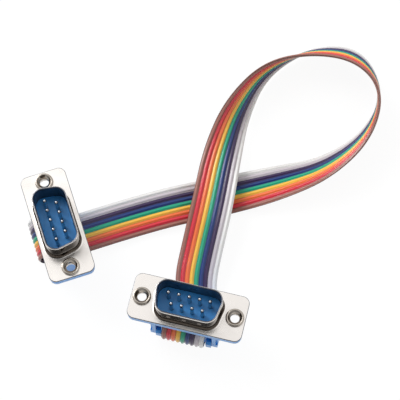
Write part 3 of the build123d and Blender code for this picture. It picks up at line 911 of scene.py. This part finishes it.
# %% [markdown]
# Glass-filled PBT leaves the mould satin, because the tool is spark eroded and glass lies just under the
# skin. Up close there is fine grain, and here and there a pale flow mark. The grain gives it a faint pale
# sheen where it is seen edge on.

# %% Blue PBT
FLOW_SIZE = MM / 0.33  # 3 mm
MOULD_GRAIN = MM / 8  # a spark-eroded tool's grain is about 0.03 mm, and is drawn coarser to show
MOULD_EDGE = 0.09 * MM


def moulded(name, colour, pale):
    """Satin moulded polyester: flow marks in its colour, mould grain in its bump."""
    material, tree = new_material(name)
    place = add(tree, "ShaderNodeTexCoord").outputs["Object"]
    flow = add(tree, "ShaderNodeTexNoise", {"Scale": 1 / FLOW_SIZE, "Detail": 3.0}, {"Vector": place})
    tint = add(
        tree,
        "ShaderNodeMix",
        {"data_type": "RGBA", MIX_A: linear(colour), MIX_B: linear(pale)},
        {"Factor": flow.outputs["Fac"]},
    )
    grain = add(tree, "ShaderNodeTexNoise", {"Scale": 1 / MOULD_GRAIN, "Detail": 2.0}, {"Vector": place})
    bump = add(
        tree,
        "ShaderNodeBump",
        {"Strength": 0.2, "Distance": 0.05 * MM},
        {"Height": grain.outputs["Fac"]},
    )
    shader = add(
        tree,
        "ShaderNodeBsdfPrincipled",
        {"Roughness": 0.34, "IOR": 1.55, "Specular IOR Level": 0.42, "Sheen Weight": 0.35},
        {"Base Color": tint.outputs[MIXED], "Normal": bump.outputs["Normal"]},
    )
    add(tree, "ShaderNodeOutputMaterial", links={"Surface": shader.outputs["BSDF"]})
    return material


BLUE_PBT = moulded("blue_pbt", "1f8de0", "41a1ec")
for name, mesh in copies.items():
    made = piece(f"{name}_moulding", mesh, [name], BLUE_PBT)
    edge = made.modifiers.new("edge", "BEVEL")
    edge.width = MOULD_EDGE
    edge.segments = 2
    edge.limit_method = "ANGLE"
    edge.angle_limit = np.radians(40)
    edge.harden_normals = True
    print(made.name, len(mesh.polygons), "faces before its edges")

# %% [markdown]
# ## Floor and light
#
# The cable lies on white paper in a small studio. The paper looks white to the camera and in reflections, and
# still takes a faint shadow.

# %% Floor
FLOOR_DROP = 0.2 * MM
FLOOR_HALF = 8.0
PAPER_WHITE = 0.8  # the paper's own white, for the light that it sends back to the cable
PAPER_SEEN = 0.09  # the part of the seen white that a shadow can darken
PAPER_GLOW = 0.93  # the rest of the seen white


def seen_rays(tree):
    """One for camera, glossy and transmission rays, and nought for the rest."""
    ray = add(tree, "ShaderNodeLightPath").outputs
    larger = {"operation": "MAXIMUM"}
    first = add(tree, "ShaderNodeMath", larger, {0: ray["Is Camera Ray"], 1: ray["Is Glossy Ray"]})
    second = add(tree, "ShaderNodeMath", larger, {0: first.outputs[0], 1: ray["Is Transmission Ray"]})
    return second.outputs[0]


material, tree = new_material("white_paper")
seen = seen_rays(tree)
shade = add(tree, "ShaderNodeMapRange", {"To Min": PAPER_WHITE, "To Max": PAPER_SEEN}, {"Value": seen})
paper = add(tree, "ShaderNodeBsdfDiffuse", links={"Color": shade.outputs["Result"]})
share = add(tree, "ShaderNodeMapRange", {"To Min": 0.0, "To Max": PAPER_GLOW}, {"Value": seen})
glow = add(tree, "ShaderNodeEmission", links={"Strength": share.outputs["Result"]})
both = add(tree, "ShaderNodeAddShader", links={0: paper.outputs[0], 1: glow.outputs[0]})
add(tree, "ShaderNodeOutputMaterial", links={"Surface": both.outputs[0]})

signs = ((-1, -1), (1, -1), (1, 1), (-1, 1))
corners = [(x * FLOOR_HALF, y * FLOOR_HALF, -FLOOR_DROP) for x, y in signs]
floor_mesh = bpy.data.meshes.new("floor")
floor_mesh.from_pydata(corners, [], [(0, 1, 2, 3)])
floor_mesh.materials.append(material)
floor = bpy.data.objects.new("floor", floor_mesh)
bpy.context.collection.objects.link(floor)
print("floor is", 2 * FLOOR_HALF, "m square")

# %% [markdown]
# The sky is plain white overhead and behind the cable. It is dim low down, and dark in a round patch over the
# front, as where a dark cloth hangs. So flat metal that faces up mirrors white, and upright metal mirrors the
# dark. The patch's edge and the low sky both fade smoothly.

# %% Sky
DIM_SIDE = (-0.02, -0.47, 0.88)  # towards the middle of the dark patch
DIM_EDGE = (0.8, 0.93)  # cosines of the angles from its middle where it begins and is full
DIM_LIGHT = 0.03
LOW_EDGE = (0.05, 0.6)  # heights of a direction between which the low sky brightens
LOW_LIGHT = 0.15

world = bpy.data.worlds.new("studio")
bpy.context.scene.world = world
world.use_nodes = True
tree = world.node_tree
tree.nodes.clear()
way = add(tree, "ShaderNodeTexCoord").outputs["Generated"]
direction = add(tree, "ShaderNodeVectorMath", {"operation": "NORMALIZE"}, {0: way})
toward = add(
    tree, "ShaderNodeVectorMath", {"operation": "DOT_PRODUCT", 1: DIM_SIDE}, {0: direction.outputs[0]}
)
rise = add(tree, "ShaderNodeSeparateXYZ", links={"Vector": direction.outputs[0]}).outputs["Z"]
smooth = {"interpolation_type": "SMOOTHSTEP"}
dim_step = {"From Min": DIM_EDGE[0], "From Max": DIM_EDGE[1], "To Min": 1.0, "To Max": DIM_LIGHT}
low_step = {"From Min": LOW_EDGE[0], "From Max": LOW_EDGE[1], "To Min": LOW_LIGHT, "To Max": 1.0}
facing = add(tree, "ShaderNodeMapRange", smooth | dim_step, {"Value": toward.outputs["Value"]})
low = add(tree, "ShaderNodeMapRange", smooth | low_step, {"Value": rise})
lights = {0: facing.outputs["Result"], 1: low.outputs["Result"]}
strength = add(tree, "ShaderNodeMath", {"operation": "MULTIPLY"}, lights)
sky = add(tree, "ShaderNodeBackground", {"Color": (1, 1, 1, 1)}, {"Strength": strength.outputs[0]})
add(tree, "ShaderNodeOutputWorld", links={"Surface": sky.outputs[0]})
print("nodes in the sky:", len(tree.nodes))

# %% [markdown]
# One large, soft lamp stands to the left. It gives the rims and the wires their bright streaks, and it gives
# the cable its shadow.

# %% Lamp
LAMP_PLACE = (-0.75, 0.4, 0.75)
LAMP_TARGET = (0.0, 0.04, 0.0)
LAMP_SIZE = 0.6
LAMP_POWER = 7.5  # watts

lamp_data = bpy.data.lights.new("left_lamp", "AREA")
lamp_data.size = LAMP_SIZE
lamp_data.energy = LAMP_POWER
lamp = bpy.data.objects.new("left_lamp", lamp_data)
back = np.array(LAMP_PLACE) - np.array(LAMP_TARGET)
back /= np.linalg.norm(back)
side = np.cross([0.0, 1.0, 0.001], back)
side /= np.linalg.norm(side)
turn = Matrix(np.column_stack([side, np.cross(back, side), back]).tolist()).to_4x4()
lamp.matrix_world = Matrix.Translation(LAMP_PLACE) @ turn
bpy.context.collection.objects.link(lamp)
bpy.context.scene.view_settings.view_transform = "Standard"
print("lamp at", LAMP_PLACE)
